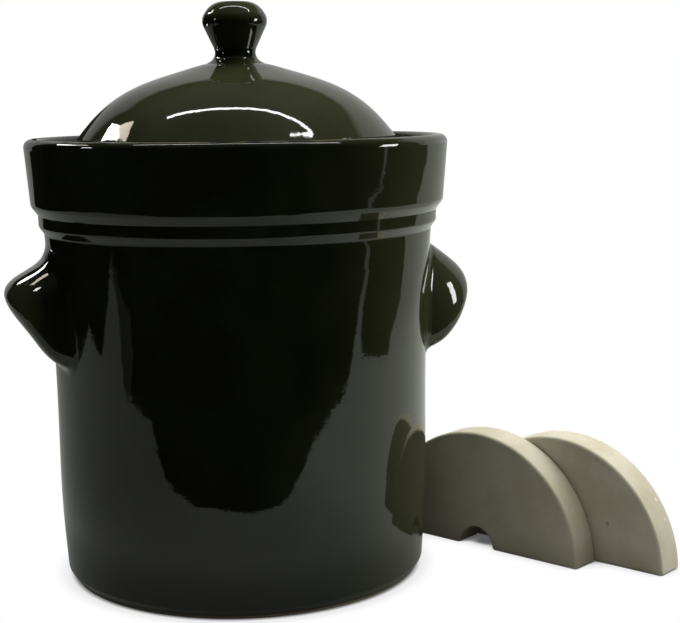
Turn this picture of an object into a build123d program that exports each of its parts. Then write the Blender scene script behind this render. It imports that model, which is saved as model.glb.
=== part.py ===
from build123d import *
import math
import os

# Water seal pickle jar: a glazed stoneware crock of about ten litres. A tall collar round its mouth
# holds the water that seals the lid, and two half-moon weight stones stand beside it.
# Millimetres, +Z up. The origin is the centre of the crock's foot, and the two handles lie along X.

# Jar body, from the foot up. Each height rises from the corner below it, and a draw is a change of radius
body_radius = 131.6
body_wall = 10
floor_thickness = 13
foot_ring_height = 3.5
foot_ring_width = 15.5
foot_chamfer_height = 7
foot_chamfer_width = 4.7
foot_flare_height = 45
foot_flare_draw = 3
straight_wall_height = 112
upper_wall_height = 72.5
upper_wall_draw = 4.4
foot_rounding = 2
floor_rounding = 14
foot_blend_share = 0.5
wall_blend_share = 0.75

# Stepped band under the collar
band_step_width = 3.4
band_step_height = 5
band_height = 7.5
band_draw = 0.2
band_rounding = 2.6

# Water collar, which is the outer wall of the gutter
gutter_depth = 50
collar_wall = 11
collar_foot_flare = 4.5
collar_foot_rise = 6
collar_foot_rounding = 6
collar_draw = 3.5
lip_rounding = 5.2

# Inner neck that the lid covers, and the roof that closes the body in to it
neck_inset = 40.6
neck_wall = 8
neck_top_drop = 9
neck_rounding = 3.6
neck_blend = 7
gutter_blend = 2.4
roof_thickness = 10
roof_fall = 9
roof_rounding = 11

# Lid: a dome on a skirt that stands in the gutter
lid_wall = 7
lid_to_neck_gap = 3
lid_seat_gap = 0.2
lid_skirt_drop = 0.5
lid_shoulder_inset = 1.4
lid_dome_height = 50.5
lid_edge_rounding = 2.4
gas_notch_radius = 7
gas_notch_count = 2
dome_radius_shares = (1, 0.845, 0.6, 0.33)
dome_rise_shares = (0, 0.37, 0.695, 0.885)
dome_start_lean = 52

# Knob luted on the crown of the lid
knob_height = 39.6
knob_foot_radius = 26
knob_foot_depth = 5
knob_neck_radius = 11.6
knob_neck_rise_share = 0.076
knob_neck_rounding = 7
knob_grip_radius = 23.1
knob_grip_rise_share = 0.694
knob_grip_rounding_share = 0.227
knob_crest_radius_share = 0.658
knob_crest_rounding_share = 0.354

# Lug handles luted on the wall by hand, so the right one sits a little lower and is fuller below.
# Up from the foot, each is first a wide flat slab, for the fingers to grip under, then a round nose
handle_height = 79
handle_top_drop = 21
right_handle_drop = 2.5
handle_reach = 31
handle_half_width = 50
handle_root_depth = 16
handle_section_points = 13
handle_level_shares = (0, 0.08, 0.20, 0.34, 0.48, 0.62, 0.76, 0.90, 1)
left_reach_shares = (-0.16, 0.09, 0.37, 0.61, 0.86, 0.97, 0.66, 0.12, -0.30)
right_reach_shares = (-0.36, -0.03, 0.43, 0.73, 0.96, 1.02, 0.81, 0.34, -0.18)
handle_width_shares = (0.80, 0.91, 0.97, 0.97, 0.94, 0.89, 0.82, 0.74, 0.66)
handle_squareness = (4.5, 5.5, 6, 4.8, 3.4, 2.6, 2.2, 2.2, 2.2)

# Weight stones: the two halves of a disc that passes the neck, standing on their straight edges
stone_mouth_gap = 5
stone_thickness = 24
stone_half_cut = 2
stone_notch_radius = 14.4
stone_edge_rounding = 2.2
stone_to_jar_gap = 1.6
stone_end_offset = 22.5
stone_stagger = 52
stone_gap = 0.5
stone_row_angle = -57.2

# Cutting tools run past the solid by this much
overrun = 5

waist_radius = body_radius - upper_wall_draw
foot_radius = waist_radius - foot_flare_draw
foot_ring_outer_radius = foot_radius - foot_chamfer_width
foot_ring_inner_radius = foot_ring_outer_radius - foot_ring_width
band_radius = body_radius + band_step_width
collar_seat_radius = band_radius + band_draw
collar_foot_radius = collar_seat_radius + collar_foot_flare
collar_rim_radius = collar_foot_radius + collar_draw
neck_radius = body_radius - neck_inset
neck_outer_radius = neck_radius + neck_wall
lid_skirt_inner_radius = neck_outer_radius + lid_to_neck_gap
lid_skirt_radius = lid_skirt_inner_radius + lid_wall
stone_radius = neck_radius - stone_mouth_gap

waist_low_height = foot_chamfer_height + foot_flare_height
waist_high_height = waist_low_height + straight_wall_height
shoulder_height = waist_high_height + upper_wall_height
upper_wall_slope = upper_wall_draw / upper_wall_height
foot_half_arc = foot_flare_height * foot_blend_share
wall_half_arc = upper_wall_height * wall_blend_share
foot_blend = foot_half_arc / math.tan(math.atan(foot_flare_draw / foot_flare_height) / 2)
wall_blend = wall_half_arc / math.tan(math.atan(upper_wall_slope) / 2)
band_bottom_height = shoulder_height + band_step_height
collar_seat_height = band_bottom_height + band_height
rim_height = collar_seat_height + gutter_depth
neck_top_height = rim_height - neck_top_drop
lid_bottom_height = collar_seat_height + lid_seat_gap
lid_skirt_top_height = rim_height - lid_skirt_drop
lid_crown_height = lid_skirt_top_height + lid_dome_height


def turned(section):
    """Solid turned about the crock's axis from corners given as (radius, height, rounding)."""
    corners = [(radius, height) for radius, height, rounding in section]
    roundings = [rounding for radius, height, rounding in section]
    outline = FilletPolyline(*corners, radius=roundings, close=True)
    return revolve(Plane.XZ * make_face(outline), Axis.Z)


def body_outside():
    """Corners of the body's outer wall, from the foot ring up to the collar's seat."""
    return [
        (foot_ring_outer_radius, 0, foot_rounding),
        (foot_radius, foot_chamfer_height, foot_rounding),
        (waist_radius, waist_low_height, foot_blend),
        (waist_radius, waist_high_height, wall_blend),
        (body_radius, shoulder_height, band_rounding),
        (band_radius, band_bottom_height, band_rounding),
        (collar_seat_radius, collar_seat_height, 0),
    ]


def body_inside():
    """Corners of the body's inner side, from the gutter's bed over the neck and down to the floor."""
    roof_height = collar_seat_height - roof_thickness
    inner_shoulder = body_radius - body_wall
    inner_waist = waist_radius - body_wall
    return [
        (neck_outer_radius, collar_seat_height, gutter_blend),
        (neck_outer_radius, neck_top_height, neck_rounding),
        (neck_radius, neck_top_height, neck_rounding),
        (neck_radius, roof_height, neck_blend),
        (inner_shoulder, roof_height - roof_fall, roof_rounding),
        (inner_waist, waist_high_height, wall_blend),
        (inner_waist, waist_low_height, foot_blend),
        (foot_radius - body_wall, floor_thickness, floor_rounding),
        (0, floor_thickness, 0),
    ]


def make_jar_body():
    foot = [
        (0, foot_ring_height, 0),
        (foot_ring_inner_radius, foot_ring_height, foot_rounding),
        (foot_ring_inner_radius, 0, 0),
    ]
    return turned(foot + body_outside() + body_inside())


def make_filled_body():
    """The body without its hollow, which trims what is luted onto the wall."""
    axis_line = [(0, collar_seat_height, 0), (0, 0, 0)]
    return turned(body_outside() + axis_line)


def make_water_collar():
    collar_bore_low = collar_foot_radius - collar_wall
    collar_bore_high = collar_rim_radius - collar_wall
    return turned([
        (collar_seat_radius, collar_seat_height, 0),
        (collar_foot_radius, collar_seat_height + collar_foot_rise, collar_foot_rounding),
        (collar_rim_radius, rim_height, lip_rounding),
        (collar_bore_high, rim_height, lip_rounding),
        (collar_bore_low, collar_seat_height, 0),
    ])


def dome_solid(base_radius, base_height, crown_height):
    """Dome that starts at a lean on the skirt's top and flattens towards the crown."""
    rise = crown_height - base_height
    points = [
        (base_radius * radius_share, base_height + rise * rise_share)
        for radius_share, rise_share in zip(dome_radius_shares, dome_rise_shares)
    ]
    lean = math.radians(dome_start_lean)
    crown = (0, crown_height)
    curve = Spline(*points, crown, tangents=[(-math.cos(lean), math.sin(lean)), (-1, 0)])
    base = Polyline(crown, (0, base_height), (base_radius, base_height))
    return revolve(Plane.XZ * make_face([*curve.edges(), *base.edges()]), Axis.Z)


def lid_outer_form():
    skirt = turned([
        (0, lid_bottom_height, 0),
        (lid_skirt_radius, lid_bottom_height, lid_edge_rounding),
        (lid_skirt_radius - lid_shoulder_inset, lid_skirt_top_height, 0),
        (0, lid_skirt_top_height, 0),
    ])
    dome = dome_solid(lid_skirt_radius - lid_shoulder_inset, lid_skirt_top_height, lid_crown_height)
    return skirt + dome


def make_lid():
    hollow_top = lid_skirt_top_height - lid_shoulder_inset
    hollow_radius = lid_skirt_inner_radius - lid_shoulder_inset
    hollow_skirt = turned([
        (0, lid_bottom_height - overrun, 0),
        (lid_skirt_inner_radius, lid_bottom_height - overrun, 0),
        (lid_skirt_inner_radius, lid_bottom_height, 0),
        (hollow_radius, hollow_top, 0),
        (0, hollow_top, 0),
    ])
    hollow_dome = dome_solid(hollow_radius, hollow_top, lid_crown_height - lid_wall)
    lid = lid_outer_form() - hollow_skirt - hollow_dome
    notch_reach = lid_skirt_radius + overrun
    for index in range(gas_notch_count):
        cutter = Cylinder(gas_notch_radius, notch_reach, rotation=(0, 90, 0),
                          align=(Align.CENTER, Align.CENTER, Align.MIN))
        lid -= Rot(Z=index * 360 / gas_notch_count) * Pos(Z=lid_bottom_height) * cutter
    return lid


def make_knob():
    """Pear-shaped grip on a waisted neck, with a foot that flares onto the crown."""
    foot_height = lid_crown_height - knob_foot_depth
    top_height = lid_crown_height + knob_height
    knob = turned([
        (0, foot_height - knob_foot_depth, 0),
        (knob_foot_radius, foot_height - knob_foot_depth, 0),
        (knob_foot_radius, foot_height, 0),
        (knob_neck_radius, lid_crown_height + knob_height * knob_neck_rise_share, knob_neck_rounding),
        (knob_grip_radius, lid_crown_height + knob_height * knob_grip_rise_share,
         knob_height * knob_grip_rounding_share),
        (knob_grip_radius * knob_crest_radius_share, top_height,
         knob_height * knob_crest_rounding_share),
        (0, top_height, 0),
    ])
    return knob - lid_outer_form()


def wall_radius_at(height):
    """Outer radius of the wall, which is straight at the waist and curves open towards the shoulder."""
    into_arc = height - (waist_high_height - wall_half_arc)
    if into_arc < 0:
        return waist_radius
    if into_arc < 2 * wall_half_arc:
        return waist_radius + into_arc ** 2 / (2 * wall_blend)
    return body_radius - (shoulder_height - height) * upper_wall_slope


def handle_section(height, reach_share, width_share, squareness):
    """Flat section across the lug: a superellipse outside the wall, and a straight root inside it."""
    root = wall_radius_at(height) - handle_root_depth
    depth = handle_root_depth + handle_reach * reach_share
    half_width = handle_half_width * width_share
    power = 2 / squareness
    points = []
    for index in range(handle_section_points):
        turn = math.pi * index / (handle_section_points - 1)
        across = math.copysign(abs(math.cos(turn)) ** power, math.cos(turn))
        points.append((root + depth * math.sin(turn) ** power, half_width * across))
    curve = Spline(*points)
    chord = Line(points[-1], points[0])
    return Pos(Z=height) * make_face([*curve.edges(), *chord.edges()])


def make_handle(filled_body, drop, reach_shares):
    """Lug on the +X side of the wall, lowered by the drop."""
    bottom = collar_seat_height - handle_top_drop - handle_height - drop
    sections = []
    for level_share, reach_share, width_share, squareness in zip(
            handle_level_shares, reach_shares, handle_width_shares, handle_squareness):
        height = bottom + handle_height * level_share
        sections.append(handle_section(height, reach_share, width_share, squareness))
    return loft(sections) - filled_body


def make_stone():
    """Half of a disc, standing on its sawn edge, with half of the finger hole at the middle."""
    disc = Pos(Z=-stone_half_cut) * Cylinder(stone_radius, stone_thickness, rotation=(90, 0, 0))
    below = Box(2 * stone_radius + overrun, stone_thickness + overrun, 2 * stone_radius,
                align=(Align.CENTER, Align.CENTER, Align.MAX))
    notch = Cylinder(stone_notch_radius, stone_thickness + overrun, rotation=(90, 0, 0))
    stone = disc - below - notch
    return fillet(stone.edges(), stone_edge_rounding)


def stone_place(number):
    """Where stone 0 or 1 of the row stands: side by side along the face, one behind the other."""
    face_distance = foot_radius + stone_to_jar_gap
    behind = face_distance + stone_thickness / 2 + number * (stone_thickness + stone_gap)
    along = stone_end_offset + stone_radius + number * stone_stagger
    return Rot(Z=stone_row_angle) * Pos(along, behind, 0)


filled_body = make_filled_body()
pieces = {
    "jar_body": make_jar_body(),
    "water_collar": make_water_collar(),
    "handle_right": make_handle(filled_body, right_handle_drop, right_reach_shares),
    "handle_left": Rot(Z=180) * make_handle(filled_body, 0, left_reach_shares),
    "lid": make_lid(),
    "lid_knob": make_knob(),
    "weight_stone_front": stone_place(0) * make_stone(),
    "weight_stone_back": stone_place(1) * make_stone(),
}

os.makedirs("parts", exist_ok=True)
for name, piece in pieces.items():
    export_step(piece, f"parts/{name}.step")
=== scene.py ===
import math
import random

import bmesh
import bpy
from mathutils import Matrix, Vector


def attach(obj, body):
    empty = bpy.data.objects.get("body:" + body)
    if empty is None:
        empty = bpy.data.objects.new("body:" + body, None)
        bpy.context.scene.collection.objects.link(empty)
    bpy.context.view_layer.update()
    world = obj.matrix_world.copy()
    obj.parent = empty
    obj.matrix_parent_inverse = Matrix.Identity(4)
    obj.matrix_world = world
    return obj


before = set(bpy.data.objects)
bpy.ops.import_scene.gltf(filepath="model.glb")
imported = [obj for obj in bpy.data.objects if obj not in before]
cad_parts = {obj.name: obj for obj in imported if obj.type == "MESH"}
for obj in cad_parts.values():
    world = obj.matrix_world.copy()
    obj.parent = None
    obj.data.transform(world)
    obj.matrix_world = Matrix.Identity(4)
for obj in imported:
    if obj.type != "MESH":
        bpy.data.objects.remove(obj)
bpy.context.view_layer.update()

# The photograph's camera, found by fitting the object's outlines. Lengths are in metres, angles in degrees
PHOTO_WIDTH = 680
PHOTO_HEIGHT = 623
FOCAL_PIXELS = 1427
CAMERA_DISTANCE = 0.9817
CAMERA_HEIGHT = 0.3229
CAMERA_PAN = 4.0
CAMERA_PITCH = 8.47
CAMERA_ROLL = 0.74
CAMERA_NEAR = 0.05
# The crock's handles stand turned by this much from the studio's left and right
CROCK_TURN = 11.7

# How the crock's wall is measured where the glaze mirrors the studio: over this height, and on this plain side of it
SLOPE_REACH = 0.0015
PLAIN_SIDE = (-0.3, -0.95, 0)
PLAIN_SIDE_DISTANCE = 0.4

# The studio round the object. Its X runs to the camera's right and its Y away from the camera. Directions are
# azimuths from the camera's side of the crock, positive to its right, and elevations
WHITE = (1, 1, 1)
DARK_LEVEL = 0.003
WORLD_GLOW = 0.13
BACKDROP_AZIMUTHS = (112, 218)
BACKDROP_TOP = 39
BACKDROP_SOFTNESS = 5
BACKDROP_RIGHT = 0.47
BACKDROP_LEFT = 0.3
CEILING_RISE = (30, 70)
CEILING_GLOW = 0.10

# Lamps that light the object and that the glaze doesn't mirror: place, width and depth, and power in watts
LIT_CENTRE = (0, 0, 0.2)
OVERHEAD = ((0.25, 0.45, 1.5), (1.4, 1.2), 33)
RIGHT_SIDE = ((1.5, -0.05, 0.55), (0.8, 0.8), 9.5)

# Panes and cards that only the glaze mirrors: the place that mirrors them, how far from it they stand, the
# directions from it to their corners, how bright they are, and their colour
DOME_LEFT = (-0.09, -0.06, 0.305)
LEFT_LUG = (-0.162, -0.034, 0.206)
RIGHT_LUG = (0.165, -0.02, 0.19)
RIM_LEFT = (-0.141, -0.015, 0.298)
CURTAIN_TINT = (1, 0.9, 0.74)
PANES = (
    ("left_window", DOME_LEFT, 1.6, ((-133, 30), (-120.5, 40), (-131, 37.5), (-139, 31.5)), 24, WHITE),
    ("left_curtain", DOME_LEFT, 1.6, ((-120.5, 40), (-113, 44), (-126, 45), (-131, 37.5)), 7, CURTAIN_TINT),
    ("right_lamp", RIGHT_LUG, 0.55, ((68, 11), (83, 11), (88, 29), (73, 29)), 15, WHITE),
    ("left_spot", LEFT_LUG, 0.25, ((-72, 51), (-58, 52), (-57, 57), (-72, 56)), 18, WHITE),
    ("left_streak", LEFT_LUG, 0.2, ((-166, 25), (-147, 25), (-147, 33), (-166, 33)), 10, WHITE),
    # Black card that keeps the backdrop and the window off the left lug
    ("left_flag", LEFT_LUG, 0.4,
     ((-180, 13), (-140, 13), (-140, 22), (-112, 22), (-112, 47), (-140, 47), (-146, 27), (-180, 27)),
     DARK_LEVEL, WHITE),
    # Grey card that keeps the streak and the black card off the rim's left end
    ("rim_fill", RIM_LEFT, 0.05, ((-115, -13), (-178, -13), (-178, 40), (-115, 40)), BACKDROP_LEFT, WHITE),
)

# Lit tube overhead, along its line in the photograph's dome, in pixels. Its last points are thinner by these shares
STRIP_HEIGHT = 1.3
STRIP_RADIUS = 0.02
STRIP_STRENGTH = 22
STRIP_END = (0.8, 0.55, 0.4, 0.3)
STRIP_PIXELS = (
    (167, 118.3), (185, 113), (207.5, 110.1), (233, 108.6), (264, 110), (280.5, 114.4), (297, 121.6), (309, 129.2),
    (312.3, 134.6), (306.6, 134.8), (298, 134.2), (290, 134.8),
)

# The floor as the camera sees it: how its contact shadow and the wider halo brighten with the light that reaches it.
# Ramps are the ends of a change and, where they are given, the levels there
FLOOR_SIZE = 12
FLOOR_BOUNCE = 0.4
FLOOR_ROUGHNESS = 0.9
CONTACT_REACH = 0.02
CONTACT_SAMPLES = 16
CONTACT_RAMP = (0.20, 0.46, 0.1, 0.82)
HALO_RAMP = (0.46, 0.85, 0, 0.18)
# The floor in the glaze: its brightness along the studio's X, and painted shade round the crock's foot by distance
FLOOR_IN_GLAZE = 0.47
GLOW_TINT = (0.95, 1, 0.9)
FLOOR_LEFT = (-0.4, 0.02, 0.64, 0.92)
FLOOR_RIGHT = (0.06, 0.36, 0, 0.6)
FLOOR_FAR_RIGHT = (0.7, 1.1, 0, -0.5)
FLOOR_SHADE_AT_FOOT = (0.13, 0.23, 0.52, 1)

# The white table's edge, from behind the crock on its left round the front to behind it on its right: both ends as
# places on the floor, and between them the edge as the crock mirrors it in the photograph, in pixels
EDGE_BEHIND_LEFT = ((-4.3, 6), (-2.1, 2.8), (-1.5, 2.2), (-1.1, 1.5), (-0.85, 0.6), (-0.85, 0.22))
EDGE_LEFT_PIXELS = ((88.6, 325.5), (93, 343.6), (101, 357), (107, 321), (109, 280))
EDGE_CRUMPLED_PIXELS = ((112, 259.5), (117, 271), (123.6, 298), (131.5, 321.5), (132.7, 366))
EDGE_FRONT_PIXELS = (
    (129.5, 398), (136, 403), (150, 425.5), (157, 448), (166, 480), (182, 494), (204.5, 507.5), (236, 515.5),
    (268, 512), (291, 496), (304.5, 466), (313.6, 439), (332, 421), (348, 384.5), (354.5, 348), (359, 303),
    (365.5, 261.7),
)
# A fold of the edge shows as a thin line up the right of the crock and its collar, and down again
FOLD_FOOT = ((1.24, -0.32), (1.27, -0.26))
FOLD_PIXELS = (
    (367, 205), (370, 200), (376, 190), (381, 178), (383.5, 166), (384.5, 156), (388, 148), (390.5, 148),
    (387.2, 156), (386, 166), (384, 178), (379, 190), (373.5, 200), (370.2, 205),
)
EDGE_RIGHT_PIXELS = (
    (368.5, 266), (363.6, 303), (360, 343.6), (361, 350.5), (370.5, 352.7), (379.5, 357), (388.6, 355),
    (391.8, 334.5), (400, 302.7), (404.5, 266), (405.5, 241),
)
EDGE_BEHIND_RIGHT = ((1.5, 0.55), (1.75, 0.7), (2.2, 1.3), (6, 3.6))
# The edge's tears: how far they reach and how close they stand. A long side has no more of them than one of
# TEAR_LONGEST, and on a short side they are shallower, in proportion to its length
TEAR_REACH = 0.005
TEAR_STEP = 0.008
TEAR_LONGEST = 0.5
TEAR_PER_LENGTH = 6
TEAR_SEED = 7
DARK_CLOTH_LIFT = 0.0004

# Crumpled part of the table's cover, in shade, between the crumpled edge and these places on the floor
SHADED_LIFT = 0.0003
SHADED_SHARE = 0.18
SHADED_INNER_SIDE = ((-0.63, -0.28), (-0.72, -0.26), (-0.86, -0.29), (-1.00, -0.30), (-1.16, -0.30))

# Glaze and clay, as linear colours
# Near black of the thick glaze, also used as painted shade on the knob's stem
GLAZE_THICK_AND_STEM_SHADE = (0.006, 0.0078, 0.0035)
GLAZE_WALL = (0.0115, 0.014, 0.0065)
# Painted light on the crock's right side, and the lighter olive towards the left lug's outer end
GLAZE_PAINTED_LIGHT_AND_LUG_END = (0.035, 0.038, 0.018)
GLAZE_LID_THICK = (0.027, 0.031, 0.0135)
GLAZE_LID = (0.034, 0.0385, 0.0175)
GLAZE_BREAK = (0.060, 0.052, 0.024)
CLAY_PALE = (0.62, 0.585, 0.45)
CLAY_WARM = (0.55, 0.51, 0.36)
CLAY_FOOT = (0.30, 0.24, 0.16)
SPECK_COLOUR = (0.22, 0.17, 0.11)
SPECK_SHARE = 0.2
MARK_SHARE = 0.8
MARK_LIGHTEST = 0.9

GLAZE_ROUGHNESS = 0.035
GLAZE_IOR = 1.52
BARE_ROUGHNESS = 0.8
CLAY_ROUGHNESS = 0.78
CLAY_SPECULAR = 0.35

# Ramps of the noise, from none to full: patches of another colour, specks, and the rim's broken glaze
PATCH_RAMP = (0.36, 0.66)
SPECK_RAMP = (0.70, 0.78)
BREAK_RAMP = (0.42, 0.62)

# Ramps over the object, from none to full. Along X: painted light, a lighter olive on the crock's right side where
# light falls on it from the right, and a lighter olive towards the left lug's outer end
PAINTED_LIGHT_RIGHT = (0.02, 0.12)
LIGHTER_LEFT_LUG = (-0.131, -0.151)
# By height: painted shade on the knob's stem, the rim, and the edges that are wiped bare
PAINTED_STEM_SHADE_FOOT = (0.3495, 0.3525)
PAINTED_STEM_SHADE_TOP = (0.3805, 0.3715)
RIM_TOP = (0.2972, 0.2988)
BARE_FOOT = (0.0022, 0.0018)
BARE_SKIRT = (0.2535, 0.2531)
OVER_GUTTER_BED = (0.24905, 0.24915)
WIPE_WOBBLE = 0.0008
# By distance from the axis: the rim's outer half, and the inside and the outside of the lid's skirt
RIM_OUTER_HALF = (0.1275, 0.1290)
SKIRT_INSIDE = (0.1012, 0.1015)
SKIRT_OUTSIDE = (0.1110, 0.1107)

# Marks on the weight stones: a place, a radius, and the share of the clay's colour that is left there
STONE_MARKS = (
    ((0.2366, -0.0897, 0.0292), 0.0009, 0.45),
    ((0.2664, -0.1030, 0.0474), 0.0008, 1.4),
    ((0.2701, -0.1094, 0.0347), 0.0007, 1.3),
    ((0.2317, -0.0821, 0.0731), 0.0008, 0.7),
)

# Soft joint of slip where each lug is luted on the wall: its width and steps, over how many neighbours on either
# side its directions are averaged, and how deep its edges and its hidden root lie
JOINT_WIDTH = 0.0052
JOINT_STEPS = 6
JOINT_BLEND = 3
JOINT_SINK = 0.00012
JOINT_ROOT_SINK = 0.0006
# A lug's face is its back where its normal points at the axis this closely, as a cosine
BACK_FACE = -0.9
WELD_DISTANCE = 1e-5


def studio(x, y, z):
    """A studio point in the object's frame."""
    return Matrix.Rotation(math.radians(-CROCK_TURN), 3, "Z") @ Vector((x, y, z))


def studio_direction(azimuth, elevation):
    """A studio direction, from angles in degrees, as a unit vector in the object's frame."""
    a = math.radians(azimuth)
    e = math.radians(elevation)
    return studio(math.sin(a) * math.cos(e), -math.cos(a) * math.cos(e), math.sin(e))


def wall_radius(height):
    """The crock's radius at a height, measured on its plain side."""
    outward = Vector(PLAIN_SIDE).normalized()
    start = outward * PLAIN_SIDE_DISTANCE + Vector((0, 0, height))
    graph = bpy.context.evaluated_depsgraph_get()
    return bpy.context.scene.ray_cast(graph, start, -outward)[1].xy.length


def mirrored(pixel, height):
    """The studio place in plan, at a height, that the glaze mirrors to the camera at a pixel of the photograph.
    It is worked out on the object at rest, before anything else stands in the scene."""
    x, y = pixel
    camera = bpy.context.scene.camera.matrix_world
    sight = camera.to_3x3() @ Vector((x - PHOTO_WIDTH / 2, PHOTO_HEIGHT / 2 - y, -FOCAL_PIXELS)).normalized()
    graph = bpy.context.evaluated_depsgraph_get()
    place = bpy.context.scene.ray_cast(graph, camera.translation, sight)[1]
    slope = (wall_radius(place.z + SLOPE_REACH) - wall_radius(place.z - SLOPE_REACH)) / (2 * SLOPE_REACH)
    normal = Vector((*place.xy.normalized(), -slope)).normalized()
    onward = sight.reflect(normal)
    seen = place + onward * ((height - place.z) / onward.z)
    turned = Matrix.Rotation(math.radians(CROCK_TURN), 3, "Z") @ seen
    return turned.x, turned.y


def mirrored_on_floor(pixels):
    """The places on the floor, to the centimetre, that the glaze mirrors at these pixels."""
    return [tuple(round(value, 2) for value in mirrored(pixel, 0)) for pixel in pixels]


def wire(tree, target, source):
    """Links a node's output to an input, or sets the input where the source is a plain value."""
    if isinstance(source, bpy.types.NodeSocket):
        tree.links.new(source, target)
    else:
        target.default_value = source


def math_node(tree, operation, first, second=None):
    node = tree.nodes.new("ShaderNodeMath")
    node.operation = operation
    wire(tree, node.inputs[0], first)
    if second is not None:
        wire(tree, node.inputs[1], second)
    return node.outputs[0]


def product(tree, first, *others):
    for other in others:
        first = math_node(tree, "MULTIPLY", first, other)
    return first


def separate(tree, vector):
    """The X, Y and Z of a vector output."""
    node = tree.nodes.new("ShaderNodeSeparateXYZ")
    tree.links.new(vector, node.inputs[0])
    return node.outputs["X"], node.outputs["Y"], node.outputs["Z"]


def plan_distance(tree, x, y):
    """How far a place is from the vertical axis."""
    return math_node(tree, "SQRT", math_node(tree, "ADD", product(tree, x, x), product(tree, y, y)))


def ramp_between(tree, value, low, high, start=0.0, end=1.0):
    """Smooth step from start to end as the value goes from low to high."""
    node = tree.nodes.new("ShaderNodeMapRange")
    node.interpolation_type = "SMOOTHSTEP"
    wire(tree, node.inputs["Value"], value)
    for name, number in (("From Min", low), ("From Max", high), ("To Min", start), ("To Max", end)):
        wire(tree, node.inputs[name], number)
    return node.outputs["Result"]


def mix_colour(tree, factor, first, second):
    node = tree.nodes.new("ShaderNodeMix")
    node.data_type = "RGBA"
    wire(tree, node.inputs[0], factor)
    for socket, colour in ((node.inputs[6], first), (node.inputs[7], second)):
        wire(tree, socket, colour if isinstance(colour, bpy.types.NodeSocket) else (*colour, 1))
    return node.outputs[2]


def noise(tree, scale, detail, roughness):
    """Noise over the object's own coordinates, where scale is in features per metre."""
    node = tree.nodes.new("ShaderNodeTexNoise")
    wire(tree, node.inputs["Vector"], object_coordinates(tree))
    wire(tree, node.inputs["Scale"], scale)
    wire(tree, node.inputs["Detail"], detail)
    wire(tree, node.inputs["Roughness"], roughness)
    return node.outputs["Fac"]


def object_coordinates(tree):
    """The object's own coordinates, from one node for the whole tree."""
    node = tree.nodes.get("coordinates")
    if node is None:
        node = tree.nodes.new("ShaderNodeTexCoord")
        node.name = "coordinates"
    return node.outputs["Object"]


def bump(tree, height, distance, strength, normal=None):
    node = tree.nodes.new("ShaderNodeBump")
    wire(tree, node.inputs["Height"], height)
    wire(tree, node.inputs["Distance"], distance)
    wire(tree, node.inputs["Strength"], strength)
    if normal is not None:
        wire(tree, node.inputs["Normal"], normal)
    return node.outputs["Normal"]


def new_material(name):
    material = bpy.data.materials.new(name)
    material.use_nodes = True
    return material, material.node_tree, material.node_tree.nodes["Principled BSDF"]


def seen_as_background(tree):
    """1 for camera, glossy and transmission rays, which meet the white background."""
    path = tree.nodes.new("ShaderNodeLightPath")
    direct = math_node(tree, "MAXIMUM", path.outputs["Is Camera Ray"], path.outputs["Is Glossy Ray"])
    return math_node(tree, "MAXIMUM", direct, path.outputs["Is Transmission Ray"])


def make_camera():
    data = bpy.data.cameras.new("photo_camera")
    data.lens = FOCAL_PIXELS * data.sensor_width / PHOTO_WIDTH
    data.clip_start = CAMERA_NEAR
    camera = bpy.data.objects.new("photo_camera", data)
    heading = math.radians(CROCK_TURN + CAMERA_PAN)
    turned = Matrix.Rotation(-heading, 4, "Z")
    tipped = Matrix.Rotation(math.radians(90 - CAMERA_PITCH), 4, "X")
    rolled = Matrix.Rotation(math.radians(-CAMERA_ROLL), 4, "Z")
    place = Matrix.Translation(studio(0, -CAMERA_DISTANCE, CAMERA_HEIGHT))
    camera.matrix_world = place @ turned @ tipped @ rolled
    bpy.context.scene.collection.objects.link(camera)
    bpy.context.scene.camera = camera


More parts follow.
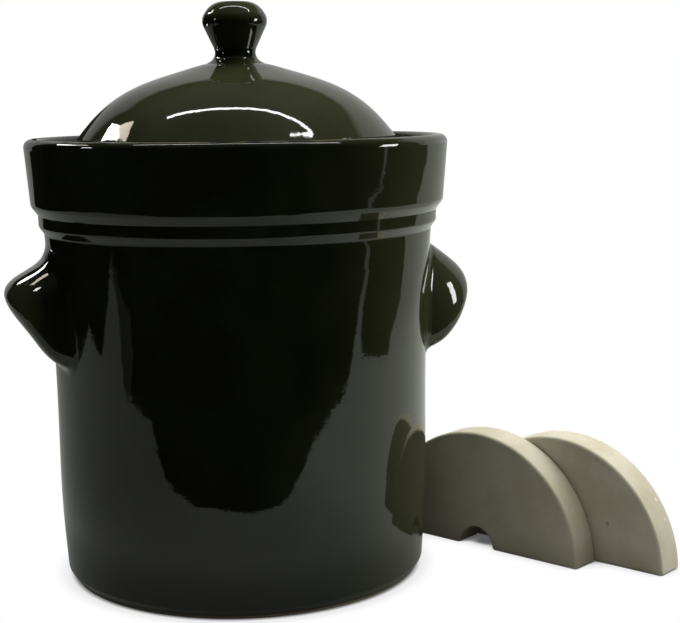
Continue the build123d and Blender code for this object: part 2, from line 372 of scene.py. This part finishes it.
def make_glaze(name, thick, thinner, painted_light_and_lug_end):
    """Dark olive-black stoneware glaze: near black where it is thick, olive where it ran thin. Painted light makes it
    a lighter olive on the crock's right side, and painted shade makes the knob's stem near black; it is also a lighter
    olive towards the left lug's outer end. It breaks to brown on the collar's rim, and the foot and the lid's lower
    edge are wiped bare."""
    material, tree, shader = new_material(name)
    across, deep, height = separate(tree, object_coordinates(tree))
    radius = plan_distance(tree, across, deep)
    patches = ramp_between(tree, noise(tree, scale=26, detail=4, roughness=0.6), *PATCH_RAMP)
    glaze = mix_colour(tree, patches, thick, thinner)
    # Painted light: a lighter olive on the crock's right side; and a lighter olive towards the left lug's outer end
    for lighter_end in (PAINTED_LIGHT_RIGHT, LIGHTER_LEFT_LUG):
        glaze = mix_colour(tree, ramp_between(tree, across, *lighter_end), glaze, painted_light_and_lug_end)
    # Painted shade: the knob's stem is darkened to the near black of the thick glaze
    stem = product(tree, ramp_between(tree, height, *PAINTED_STEM_SHADE_FOOT), ramp_between(tree, height, *PAINTED_STEM_SHADE_TOP))
    glaze = mix_colour(tree, stem, glaze, GLAZE_THICK_AND_STEM_SHADE)
    on_rim = product(tree, ramp_between(tree, height, *RIM_TOP), ramp_between(tree, radius, *RIM_OUTER_HALF))
    broken = ramp_between(tree, noise(tree, scale=90, detail=3, roughness=0.6), *BREAK_RAMP)
    glaze = mix_colour(tree, product(tree, on_rim, broken), glaze, GLAZE_BREAK)
    wobble = product(tree, noise(tree, scale=45, detail=2, roughness=0.5), WIPE_WOBBLE)
    wiped_height = math_node(tree, "SUBTRACT", height, wobble)
    foot = ramp_between(tree, wiped_height, *BARE_FOOT)
    low = product(tree, ramp_between(tree, wiped_height, *BARE_SKIRT), ramp_between(tree, height, *OVER_GUTTER_BED))
    in_gutter = product(tree, ramp_between(tree, radius, *SKIRT_INSIDE), ramp_between(tree, radius, *SKIRT_OUTSIDE))
    bare = math_node(tree, "MAXIMUM", foot, product(tree, low, in_gutter))
    wire(tree, shader.inputs["Base Color"], mix_colour(tree, bare, glaze, CLAY_FOOT))
    wire(tree, shader.inputs["Roughness"], ramp_between(tree, bare, 0, 1, GLAZE_ROUGHNESS, BARE_ROUGHNESS))
    shader.inputs["IOR"].default_value = GLAZE_IOR
    ripple = bump(tree, noise(tree, scale=38, detail=2, roughness=0.45), distance=0.0004, strength=0.35)
    peel_noise = noise(tree, scale=420, detail=2, roughness=0.5)
    wire(tree, shader.inputs["Normal"], bump(tree, peel_noise, distance=0.00004, strength=0.3, normal=ripple))
    return material


def spot(tree, place, radius):
    """1 within the radius of a place on the object, fading to 0 at twice the radius."""
    node = tree.nodes.new("ShaderNodeVectorMath")
    node.operation = "DISTANCE"
    tree.links.new(object_coordinates(tree), node.inputs[0])
    node.inputs[1].default_value = place
    return ramp_between(tree, node.outputs["Value"], radius, 2 * radius, 1, 0)


def make_clay():
    """Bare cream stoneware of the weight stones: fine-grained and dry, with iron specks and small knocks."""
    material, tree, shader = new_material("bare_stoneware_clay")
    patches = ramp_between(tree, noise(tree, scale=34, detail=5, roughness=0.6), *PATCH_RAMP)
    clay = mix_colour(tree, patches, CLAY_PALE, CLAY_WARM)
    specks = ramp_between(tree, noise(tree, scale=620, detail=1, roughness=0.4), *SPECK_RAMP)
    clay = mix_colour(tree, product(tree, specks, SPECK_SHARE), clay, SPECK_COLOUR)
    for place, radius, share in STONE_MARKS:
        colour = tuple(min(MARK_LIGHTEST, share * part) for part in CLAY_PALE)
        clay = mix_colour(tree, product(tree, spot(tree, place, radius), MARK_SHARE), clay, colour)
    wire(tree, shader.inputs["Base Color"], clay)
    shader.inputs["Roughness"].default_value = CLAY_ROUGHNESS
    shader.inputs["Specular IOR Level"].default_value = CLAY_SPECULAR
    grain = bump(tree, noise(tree, scale=900, detail=3, roughness=0.65), distance=0.00025, strength=0.4)
    wear_noise = noise(tree, scale=60, detail=3, roughness=0.5)
    wire(tree, shader.inputs["Normal"], bump(tree, wear_noise, distance=0.0008, strength=0.35, normal=grain))
    return material


def dress_cad_nodes(wall_glaze, lid_glaze, clay):
    finishes = {"weight_stone_front": clay, "weight_stone_back": clay, "lid": lid_glaze, "lid_knob": lid_glaze}
    for name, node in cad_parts.items():
        node.material_slots[0].material = finishes.get(name, wall_glaze)


def lug_seam(lug):
    """The closed line where a lug meets the wall, as places with the wall's and the lug's directions away from it."""
    welded = bmesh.new()
    welded.from_mesh(lug.data)
    bmesh.ops.remove_doubles(welded, verts=welded.verts, dist=WELD_DISTANCE)
    welded.normal_update()

    def outward(point):
        return Vector((point.x, point.y, 0)).normalized()

    def faces_wall(face):
        return face.normal.dot(outward(face.calc_center_median())) < BACK_FACE

    seam = {}
    for edge in welded.edges:
        if len(edge.link_faces) != 2:
            continue
        first, second = edge.link_faces
        if faces_wall(first) == faces_wall(second):
            continue
        back, side = (first, second) if faces_wall(first) else (second, first)
        along = (edge.verts[1].co - edge.verts[0].co).normalized()
        middle = (edge.verts[0].co + edge.verts[1].co) / 2
        on_wall = along.cross(back.normal)
        if on_wall.dot(back.calc_center_median() - middle) > 0:
            on_wall.negate()
        on_lug = along.cross(side.normal)
        if on_lug.dot(side.calc_center_median() - middle) < 0:
            on_lug.negate()
        for vertex, other in (edge.verts, reversed(edge.verts)):
            seam.setdefault(vertex.index, []).append((other.index, on_wall, on_lug, -back.normal))
    start = min(seam)
    order = [start]
    previous, current = None, start
    while True:
        following = [entry[0] for entry in seam[current] if entry[0] != previous]
        previous, current = current, following[0]
        if current == start:
            break
        order.append(current)
    welded.verts.ensure_lookup_table()
    places = []
    for index in order:
        sums = [sum((entry[column] for entry in seam[index]), Vector()).normalized() for column in (1, 2, 3)]
        places.append((welded.verts[index].co.copy(), *sums))
    welded.free()
    return places


def averaged(seam, column, index):
    """One of the seam's directions, averaged over its neighbours along the seam."""
    reach = range(-JOINT_BLEND, JOINT_BLEND + 1)
    return sum((seam[(index + step) % len(seam)][column] for step in reach), Vector()).normalized()


def make_lug_joint(name, lug, glaze):
    """Fillet of glazed slip round a lug's seam, which leaves the wall and the lug along their surfaces."""
    seam = lug_seam(lug)
    section_size = JOINT_STEPS + 2
    vertices = []
    for index, (place, *_) in enumerate(seam):
        on_wall, on_lug, wall_normal = (averaged(seam, column, index) for column in (1, 2, 3))
        foot = place + on_wall * JOINT_WIDTH
        across = Vector((wall_normal.x, wall_normal.y)).length
        radius = place.xy.length - (foot.z - place.z) * wall_normal.z / across - JOINT_SINK
        foot.xy = foot.xy.normalized() * radius
        _, nearest, lug_normal, _ = lug.closest_point_on_mesh(place + on_lug * JOINT_WIDTH)
        crest = nearest - lug_normal * JOINT_SINK
        for step in range(JOINT_STEPS + 1):
            t = step / JOINT_STEPS
            vertices.append(foot * (1 - t) ** 2 + place * 2 * t * (1 - t) + crest * t ** 2)
        vertices.append(place - (wall_normal + lug_normal) * JOINT_ROOT_SINK)
    faces = []
    for index in range(len(seam)):
        here = index * section_size
        there = (index + 1) % len(seam) * section_size
        for step in range(section_size):
            beside = (step + 1) % section_size
            faces.append((here + step, there + step, there + beside, here + beside))
    mesh = bpy.data.meshes.new(name)
    mesh.from_pydata(vertices, [], faces)
    mesh.materials.append(glaze)
    for polygon in mesh.polygons:
        polygon.use_smooth = True
    tidy = bmesh.new()
    tidy.from_mesh(mesh)
    bmesh.ops.recalc_face_normals(tidy, faces=tidy.faces)
    tidy.to_mesh(mesh)
    tidy.free()
    joint = bpy.data.objects.new(name, mesh)
    bpy.context.scene.collection.objects.link(joint)
    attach(joint, "crock")


def emitter(name, strength, colour):
    material = bpy.data.materials.new(name)
    material.use_nodes = True
    tree = material.node_tree
    tree.nodes.clear()
    output = tree.nodes.new("ShaderNodeOutputMaterial")
    light = tree.nodes.new("ShaderNodeEmission")
    light.inputs["Color"].default_value = (*colour, 1)
    light.inputs["Strength"].default_value = strength
    tree.links.new(light.outputs[0], output.inputs["Surface"])
    return material


def show_only_in_glaze(piece):
    piece.visible_camera = False
    piece.visible_diffuse = False
    piece.visible_shadow = False
    piece.visible_transmission = False


def stage_face(name, corners, material, only_in_glaze=True):
    """One flat face of the studio round the object."""
    mesh = bpy.data.meshes.new(name)
    mesh.from_pydata(corners, [], [tuple(range(len(corners)))])
    mesh.materials.append(material)
    piece = bpy.data.objects.new(name, mesh)
    bpy.context.scene.collection.objects.link(piece)
    if only_in_glaze:
        show_only_in_glaze(piece)
    return piece


def pane(name, seen_from, distance, directions, strength, colour):
    """A glowing pane or a dark card that only the glaze shows, with its corners in these directions from a place."""
    corners = [studio(*seen_from) + studio_direction(*direction) * distance for direction in directions]
    stage_face(name, corners, emitter(name, strength, colour))


def strip_light(plan):
    """Thin lit tube overhead through these places, with a short, thinner return at its right end."""
    data = bpy.data.curves.new("strip_light", "CURVE")
    data.dimensions = "3D"
    data.bevel_depth = STRIP_RADIUS
    data.use_fill_caps = True
    spline = data.splines.new("NURBS")
    spline.points.add(len(plan) - 1)
    for point, (x, y) in zip(spline.points, plan):
        point.co = (*studio(x, y, STRIP_HEIGHT), 1)
    for point, share in zip(spline.points[-len(STRIP_END):], STRIP_END):
        point.radius = share
    spline.order_u = 3
    spline.use_endpoint_u = True
    data.materials.append(emitter("strip_light", STRIP_STRENGTH, WHITE))
    tube = bpy.data.objects.new("strip_light", data)
    bpy.context.scene.collection.objects.link(tube)
    show_only_in_glaze(tube)


def floor_level(tree):
    """How bright the floor shows in the glaze: most on the crock's right, least on its left, and with painted shade
    near its foot.
    """
    across, deep, _ = separate(tree, object_coordinates(tree))
    left = ramp_between(tree, across, *FLOOR_LEFT)
    right = ramp_between(tree, across, *FLOOR_RIGHT)
    far_right = ramp_between(tree, across, *FLOOR_FAR_RIGHT)
    level = math_node(tree, "ADD", math_node(tree, "ADD", left, right), far_right)
    foot = ramp_between(tree, plan_distance(tree, across, deep), *FLOOR_SHADE_AT_FOOT)
    return product(tree, level, foot, FLOOR_IN_GLAZE)


def make_floor():
    """Pale floor: white to the camera, with the object's contact shadow, and shaded from side to side in the glaze."""
    material, tree, shader = new_material("pale_floor")
    shader.inputs["Base Color"].default_value = (FLOOR_BOUNCE, FLOOR_BOUNCE, FLOOR_BOUNCE, 1)
    shader.inputs["Roughness"].default_value = FLOOR_ROUGHNESS
    shader.inputs["Specular IOR Level"].default_value = 0
    occlusion = tree.nodes.new("ShaderNodeAmbientOcclusion")
    occlusion.samples = CONTACT_SAMPLES
    occlusion.inputs["Distance"].default_value = CONTACT_REACH
    contact, halo = (ramp_between(tree, occlusion.outputs["AO"], *ramp) for ramp in (CONTACT_RAMP, HALO_RAMP))
    shade = math_node(tree, "ADD", contact, halo)
    path = tree.nodes.new("ShaderNodeLightPath")
    glossy = path.outputs["Is Glossy Ray"]
    level = ramp_between(tree, glossy, 0, 1, 1, floor_level(tree))
    white = tree.nodes.new("ShaderNodeEmission")
    tree.links.new(mix_colour(tree, glossy, WHITE, GLOW_TINT), white.inputs["Color"])
    tree.links.new(product(tree, shade, level), white.inputs["Strength"])
    mix = tree.nodes.new("ShaderNodeMixShader")
    tree.links.new(seen_as_background(tree), mix.inputs[0])
    tree.links.new(shader.outputs[0], mix.inputs[1])
    tree.links.new(white.outputs[0], mix.inputs[2])
    tree.links.new(mix.outputs[0], tree.nodes["Material Output"].inputs["Surface"])
    half = FLOOR_SIZE / 2
    corners = [(-half, -half, 0), (half, -half, 0), (half, half, 0), (-half, half, 0)]
    floor = stage_face("floor", corners, material, only_in_glaze=False)
    floor.rotation_euler.z = math.radians(-CROCK_TURN)


def table_cloth(name, outline, lift, level):
    """Flat cloth on the floor, seen only in the glaze."""
    corners = [studio(x, y, lift) for x, y in outline]
    stage_face(name, corners, emitter(name, level, GLOW_TINT))


def table_edge(crumpled):
    """The white table's edge on the floor, from behind the crock on its left round the front to its right."""
    fold_foot_left, fold_foot_right = FOLD_FOOT
    left = [*EDGE_BEHIND_LEFT, *mirrored_on_floor(EDGE_LEFT_PIXELS), *crumpled]
    fold = [fold_foot_left, *mirrored_on_floor(FOLD_PIXELS), fold_foot_right]
    right = [*mirrored_on_floor(EDGE_RIGHT_PIXELS), *EDGE_BEHIND_RIGHT]
    return [*left, *mirrored_on_floor(EDGE_FRONT_PIXELS), *fold, *right]


def make_table_cloths(edge, crumpled):
    """Black cloth round the white table, whose torn edge shows on the crock, and the table's shaded part."""
    rng = random.Random(TEAR_SEED)
    ragged = []
    for start, end in zip(edge, edge[1:]):
        run = Vector(end) - Vector(start)
        steps = 1 + int(min(run.length, TEAR_LONGEST) / TEAR_STEP)
        side = Vector((-run.y, run.x)).normalized()
        for step in range(steps):
            tear = side * rng.uniform(-TEAR_REACH, TEAR_REACH) * min(1, step) * min(1, TEAR_PER_LENGTH * run.length)
            ragged.append(tuple(Vector(start) + run * (step / steps) + tear))
    half = FLOOR_SIZE / 2
    outline = [*ragged, edge[-1], (half, -half), (-half, -half), (-half, half)]
    table_cloth("dark_surround", outline, DARK_CLOTH_LIFT, DARK_LEVEL)
    shaded = [*crumpled, *SHADED_INNER_SIDE]
    table_cloth("shaded_part", shaded, SHADED_LIFT, SHADED_SHARE * FLOOR_IN_GLAZE)


def area_light(name, place, size, power):
    """A lamp that is turned to the object and shows neither to the camera nor in the glaze."""
    data = bpy.data.lights.new(name, "AREA")
    data.shape = "RECTANGLE"
    data.size, data.size_y = size
    data.energy = power
    light = bpy.data.objects.new(name, data)
    light.location = studio(*place)
    light.rotation_euler = (Vector(LIT_CENTRE) - light.location).to_track_quat("-Z", "Y").to_euler()
    light.visible_glossy = False
    light.visible_camera = False
    bpy.context.scene.collection.objects.link(light)


def make_lights(strip_plan):
    area_light("overhead", *OVERHEAD)
    area_light("right_side", *RIGHT_SIDE)
    for values in PANES:
        pane(*values)
    strip_light(strip_plan)


def make_world():
    """White to the camera. In the glaze it is a white backdrop behind, a dim ceiling, and dark in front."""
    world = bpy.data.worlds.new("studio")
    bpy.context.scene.world = world
    world.use_nodes = True
    tree = world.node_tree
    tree.nodes.clear()
    coordinates = tree.nodes.new("ShaderNodeTexCoord")
    spin = tree.nodes.new("ShaderNodeVectorRotate")
    spin.rotation_type = "Z_AXIS"
    spin.inputs["Angle"].default_value = math.radians(CROCK_TURN)
    tree.links.new(coordinates.outputs["Generated"], spin.inputs["Vector"])
    across, deep, up = separate(tree, spin.outputs["Vector"])
    # Azimuth from the backdrop's middle, which is straight behind, so that the backdrop's range has no seam
    azimuth = math_node(tree, "ARCTAN2", product(tree, across, -1), deep)
    elevation = math_node(tree, "ARCSINE", up)
    soft = math.radians(BACKDROP_SOFTNESS)
    right, left = (math.radians(side - 180) for side in BACKDROP_AZIMUTHS)
    top = math.radians(BACKDROP_TOP)
    inside = product(tree, ramp_between(tree, azimuth, right, right + soft),
                     ramp_between(tree, azimuth, left, left - soft))
    level = ramp_between(tree, azimuth, 0, left, BACKDROP_RIGHT, BACKDROP_LEFT)
    backdrop = product(tree, inside, level, ramp_between(tree, elevation, top, top - soft))
    ceiling = ramp_between(tree, elevation, *map(math.radians, CEILING_RISE), DARK_LEVEL, CEILING_GLOW)
    in_glaze = math_node(tree, "MAXIMUM", backdrop, ceiling)
    path = tree.nodes.new("ShaderNodeLightPath")
    glossy = path.outputs["Is Glossy Ray"]
    camera = path.outputs["Is Camera Ray"]
    lit = product(tree, in_glaze, glossy)
    rest = product(tree, math_node(tree, "SUBTRACT", 1, glossy), WORLD_GLOW)
    strength = math_node(tree, "MAXIMUM", math_node(tree, "ADD", lit, rest), camera)
    background = tree.nodes.new("ShaderNodeBackground")
    background.inputs["Color"].default_value = (1, 1, 1, 1)
    tree.links.new(strength, background.inputs["Strength"])
    output = tree.nodes.new("ShaderNodeOutputWorld")
    tree.links.new(background.outputs[0], output.inputs["Surface"])


make_camera()
crumpled_edge = mirrored_on_floor(EDGE_CRUMPLED_PIXELS)
edge = table_edge(crumpled_edge)
strip_plan = [mirrored(pixel, STRIP_HEIGHT) for pixel in STRIP_PIXELS]
glaze = make_glaze("dark_olive_glaze", GLAZE_THICK_AND_STEM_SHADE, GLAZE_WALL, GLAZE_PAINTED_LIGHT_AND_LUG_END)
dress_cad_nodes(glaze, make_glaze("olive_lid_glaze", GLAZE_LID_THICK, GLAZE_LID, GLAZE_LID), make_clay())
for side in ("left", "right"):
    make_lug_joint(f"lug_joint_{side}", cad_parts[f"handle_{side}"], glaze)
make_floor()
make_table_cloths(edge, crumpled_edge)
make_lights(strip_plan)
make_world()
bpy.context.scene.view_settings.view_transform = "Standard"
